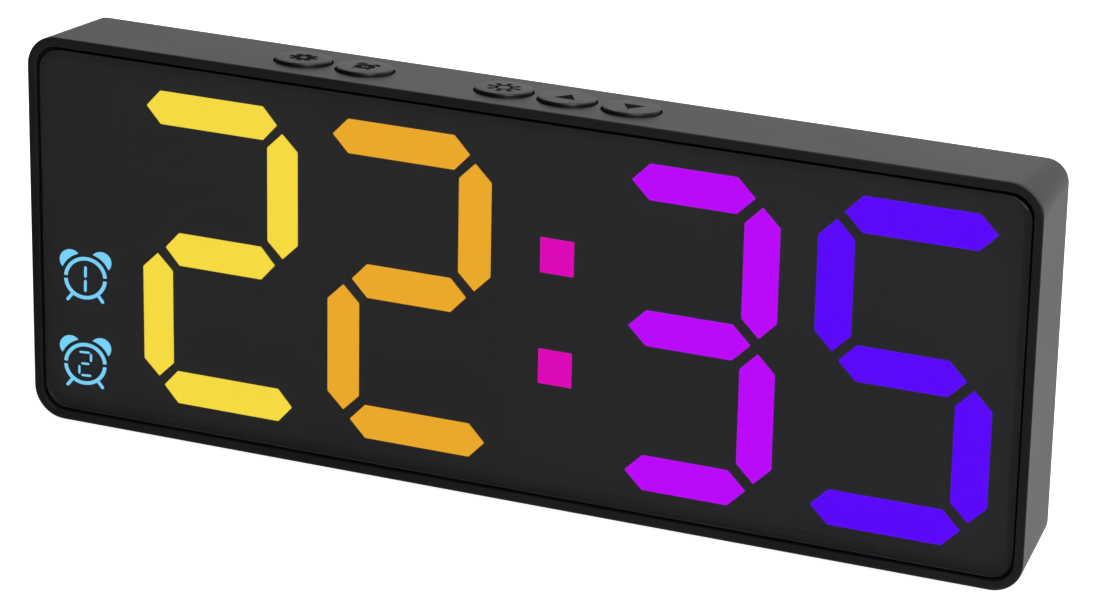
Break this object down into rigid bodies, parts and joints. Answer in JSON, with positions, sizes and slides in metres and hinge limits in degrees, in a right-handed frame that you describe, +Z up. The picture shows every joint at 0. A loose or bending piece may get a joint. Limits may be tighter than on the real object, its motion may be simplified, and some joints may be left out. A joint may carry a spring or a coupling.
{
  "type": "digital alarm clock",
  "caption": "Free-standing LED alarm clock: drafted black case, full-front smoked lens with coloured digits and alarm icons, round push buttons on top.",
  "frame": {"origin": "middle of the clock's footprint, on the surface that its two feet rest on", "axes": "+X to the right as one faces the display, +Y from the front to the back, +Z up; the front leans back by 5.4 degrees"},
  "size_m": [0.163, 0.023, 0.0633],
  "materials": {
    "case_plastic": "satin black ABS",
    "smoked_lens": "polished smoked acrylic",
    "black_mask": "matte black film",
    "yellow_light": "lit diffuser",
    "orange_light": "lit diffuser",
    "violet_light": "lit diffuser",
    "blue_light": "lit diffuser",
    "magenta_light": "lit diffuser",
    "icon_light": "lit diffuser",
    "white_plastic": "matte white ABS",
    "board": "solder mask",
    "button_plastic": "satin black ABS",
    "switch_plastic": "moulded black nylon",
    "plunger_plastic": "moulded white nylon",
    "chip_package": "moulded epoxy",
    "plated_steel": "nickel-plated sheet",
    "capacitor_can": "drawn can",
    "cell_steel": "nickel-plated can",
    "spring_metal": "nickel-plated spring strip",
    "black_wire": "insulation",
    "red_wire": "insulation",
    "screw_steel": "zinc-plated",
    "foot_rubber": "matte silicone"
  },
  "bodies": {
    "clock": {"case_shell": "case_plastic", "front_lens": "smoked_lens", "mask_plate": "black_mask", "hours_tens_segments": "yellow_light", "hours_ones_segments": "orange_light", "minutes_tens_segments": "violet_light", "minutes_ones_segments": "blue_light", "colon_dots": "magenta_light", "alarm_one_icon": "icon_light", "alarm_two_icon": "icon_light", "light_box": "white_plastic", "main_board": "board", "settings_switch": "switch_plastic", "alarm_switch": "switch_plastic", "brightness_switch": "switch_plastic", "up_switch": "switch_plastic", "down_switch": "switch_plastic", "controller_chip": "chip_package", "driver_chip": "chip_package", "clock_crystal": "plated_steel", "capacitor": "capacitor_can", "usb_shell": "plated_steel", "usb_tongue": "switch_plastic", "buzzer": "switch_plastic", "coin_cell": "cell_steel", "negative_contact": "spring_metal", "positive_contact": "spring_metal", "negative_lead": "black_wire", "positive_lead": "red_wire", "case_screw_1": "screw_steel", "case_screw_2": "screw_steel", "case_screw_3": "screw_steel", "case_screw_4": "screw_steel", "left_foot": "foot_rubber", "right_foot": "foot_rubber"},
    "settings_key": {"settings_button": "button_plastic", "settings_switch_plunger": "plunger_plastic"},
    "alarm_key": {"alarm_button": "button_plastic", "alarm_switch_plunger": "plunger_plastic"},
    "brightness_key": {"brightness_button": "button_plastic", "brightness_switch_plunger": "plunger_plastic"},
    "up_key": {"up_button": "button_plastic", "up_switch_plunger": "plunger_plastic"},
    "down_key": {"down_button": "button_plastic", "down_switch_plunger": "plunger_plastic"},
    "door": {"battery_door": "case_plastic"}
  },
  "joints": [
    {"name": "settings_press", "type": "slide", "parent": "clock", "child": "settings_key", "axis": [0, -0.188, -0.9822], "range_m": [0, 0.0003], "stiffness_N_per_m": 1500},
    {"name": "alarm_press", "type": "slide", "parent": "clock", "child": "alarm_key", "axis": [0, -0.188, -0.9822], "range_m": [0, 0.0003], "stiffness_N_per_m": 1500},
    {"name": "brightness_press", "type": "slide", "parent": "clock", "child": "brightness_key", "axis": [0, -0.188, -0.9822], "range_m": [0, 0.0003], "stiffness_N_per_m": 1500},
    {"name": "up_press", "type": "slide", "parent": "clock", "child": "up_key", "axis": [0, -0.188, -0.9822], "range_m": [0, 0.0003], "stiffness_N_per_m": 1500},
    {"name": "down_press", "type": "slide", "parent": "clock", "child": "down_key", "axis": [0, -0.188, -0.9822], "range_m": [0, 0.0003], "stiffness_N_per_m": 1500},
    {"name": "door_twist", "type": "hinge", "parent": "clock", "child": "door", "pos_m": [-0.01793, 0.00874, 0.03027], "axis": [0, 0.9955, -0.0944], "range_deg": [0, 45]}
  ]
}
